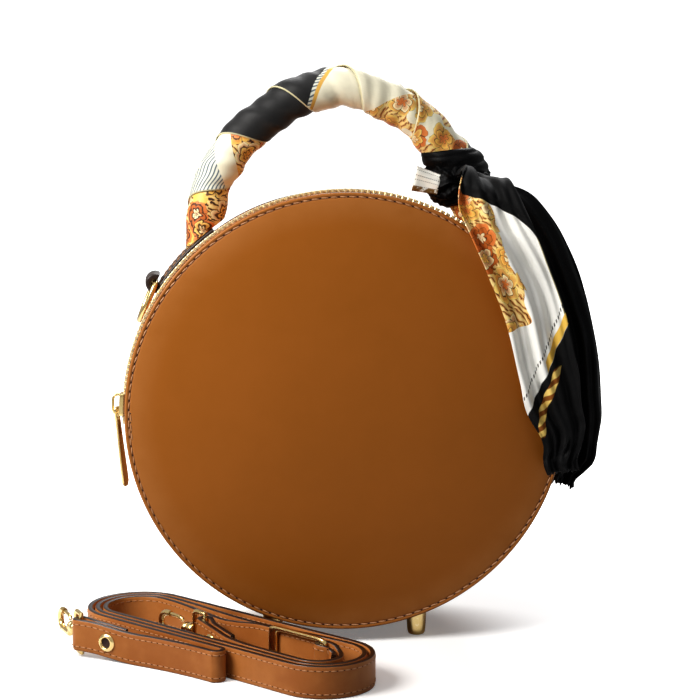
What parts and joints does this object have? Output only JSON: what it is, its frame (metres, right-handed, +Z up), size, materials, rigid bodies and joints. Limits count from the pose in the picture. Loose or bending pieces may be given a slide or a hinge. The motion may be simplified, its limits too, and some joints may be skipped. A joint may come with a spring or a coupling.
{
  "type": "handbag",
  "caption": "Round tan leather handbag on gold feet, with a zip over its top, an arched handle wound with a knotted scarf, and a detached shoulder strap coiled beside it.",
  "frame": {"origin": "centre of the whole model's footprint, bag and strap together, on the floor", "axes": "+Z up, -Y towards the front panel and the strap, +X towards the scarf's hanging tails"},
  "size_m": [0.2656, 0.1716, 0.2738],
  "materials": {
    "tan_leather": "smooth vegetable-tanned leather with a soft sheen",
    "beige_lining": "matt woven lining",
    "grey_board": "plain bonded leatherboard",
    "tan_zip_tape": "woven zip tape",
    "pale_gold": "polished pale gold plating",
    "ivory_silk": "printed silk, ivory ground with gold and burnt orange",
    "black_silk": "printed silk, black ground with ivory dots"
  },
  "bodies": {
    "bag": {"back_lining": "beige_lining", "back_panel": "tan_leather", "base_board": "grey_board", "foot_front_left": "pale_gold", "foot_front_right": "pale_gold", "foot_rear_left": "pale_gold", "foot_rear_right": "pale_gold", "front_gusset_strip": "tan_leather", "front_lining": "beige_lining", "front_panel": "tan_leather", "gusset_lining": "beige_lining", "handle_core": "tan_leather", "handle_tab_left": "tan_leather", "handle_tab_right": "tan_leather", "inner_pocket": "beige_lining", "lower_gusset": "tan_leather", "rear_gusset_strip": "tan_leather", "scarf_knot": "black_silk", "scarf_tail_dark": "black_silk", "scarf_tail_pale": "ivory_silk", "scarf_wrap": "ivory_silk", "zip_end_stop": "pale_gold", "zip_tape_front": "tan_zip_tape", "zip_tape_rear": "tan_zip_tape", "zip_teeth_front": "pale_gold", "zip_teeth_rear": "pale_gold"},
    "slider": {"zip_slider": "pale_gold"},
    "pull": {"zip_pull": "pale_gold"},
    "ring_left": {"d_ring_left": "pale_gold"},
    "ring_right": {"d_ring_right": "pale_gold"},
    "strap": {"strap_long": "tan_leather", "strap_short": "tan_leather", "strap_rivet_long": "pale_gold", "strap_rivet_short": "pale_gold", "buckle_frame": "pale_gold"},
    "hook_a_eye": {"snap_hook_a_eye": "pale_gold"},
    "hook_a_body": {"snap_hook_a_body": "pale_gold"},
    "hook_a_gate": {"snap_hook_a_gate": "pale_gold"},
    "hook_b_eye": {"snap_hook_b_eye": "pale_gold"},
    "hook_b_body": {"snap_hook_b_body": "pale_gold"},
    "hook_b_gate": {"snap_hook_b_gate": "pale_gold"}
  },
  "joints": [
    {"name": "zip_travel", "type": "hinge", "parent": "bag", "child": "slider", "pos_m": [0.00576, 0.01364, 0.1115], "axis": [0, 1, 0], "range_deg": [0, 174]},
    {"name": "zip_pull_swing", "type": "hinge", "parent": "slider", "child": "pull", "pos_m": [-0.10294, 0.01364, 0.11424], "axis": [0, 1, 0], "range_deg": [0, 150]},
    {"name": "d_ring_left_swing", "type": "hinge", "parent": "bag", "child": "ring_left", "pos_m": [-0.08369, 0.04164, 0.17093], "axis": [0, 1, 0], "range_deg": [0, 145]},
    {"name": "d_ring_right_swing", "type": "hinge", "parent": "bag", "child": "ring_right", "pos_m": [0.09521, 0.04164, 0.17093], "axis": [0, -1, 0], "range_deg": [0, 145]},
    {"name": "strap_slide", "type": "slide", "parent": "bag", "child": "strap", "axis": [0, -1, 0], "range_m": [0, 0.12]},
    {"name": "hook_a_eye_swing", "type": "hinge", "parent": "strap", "child": "hook_a_eye", "pos_m": [-0.12067, -0.00789, 0.0108], "axis": [0, 0, 1], "range_deg": [-12, 80]},
    {"name": "hook_a_swivel", "type": "hinge", "parent": "hook_a_eye", "child": "hook_a_body", "pos_m": [-0.12466, 0.00322, 0.0108], "axis": [-0.3383, 0.941, 0], "continuous": true},
    {"name": "hook_a_gate_open", "type": "hinge", "parent": "hook_a_body", "child": "hook_a_gate", "pos_m": [-0.12608, 0.00717, 0.0135], "axis": [-0.941, -0.3383, 0], "range_deg": [0, 28], "stiffness_Nm_per_rad": 0.002, "springref_deg": -11.46},
    {"name": "hook_b_eye_swing", "type": "hinge", "parent": "strap", "child": "hook_b_eye", "pos_m": [-0.06267, -0.01299, 0.0108], "axis": [0, 0, 1], "range_deg": [-14, 10]},
    {"name": "hook_b_swivel", "type": "hinge", "parent": "hook_b_eye", "child": "hook_b_body", "pos_m": [-0.07018, -0.0039, 0.0108], "axis": [-0.6372, 0.7707, 0], "continuous": true},
    {"name": "hook_b_gate_open", "type": "hinge", "parent": "hook_b_body", "child": "hook_b_gate", "pos_m": [-0.07286, -0.00066, 0.0135], "axis": [-0.7707, -0.6372, 0], "range_deg": [0, 28], "stiffness_Nm_per_rad": 0.002, "springref_deg": -11.46}
  ]
}
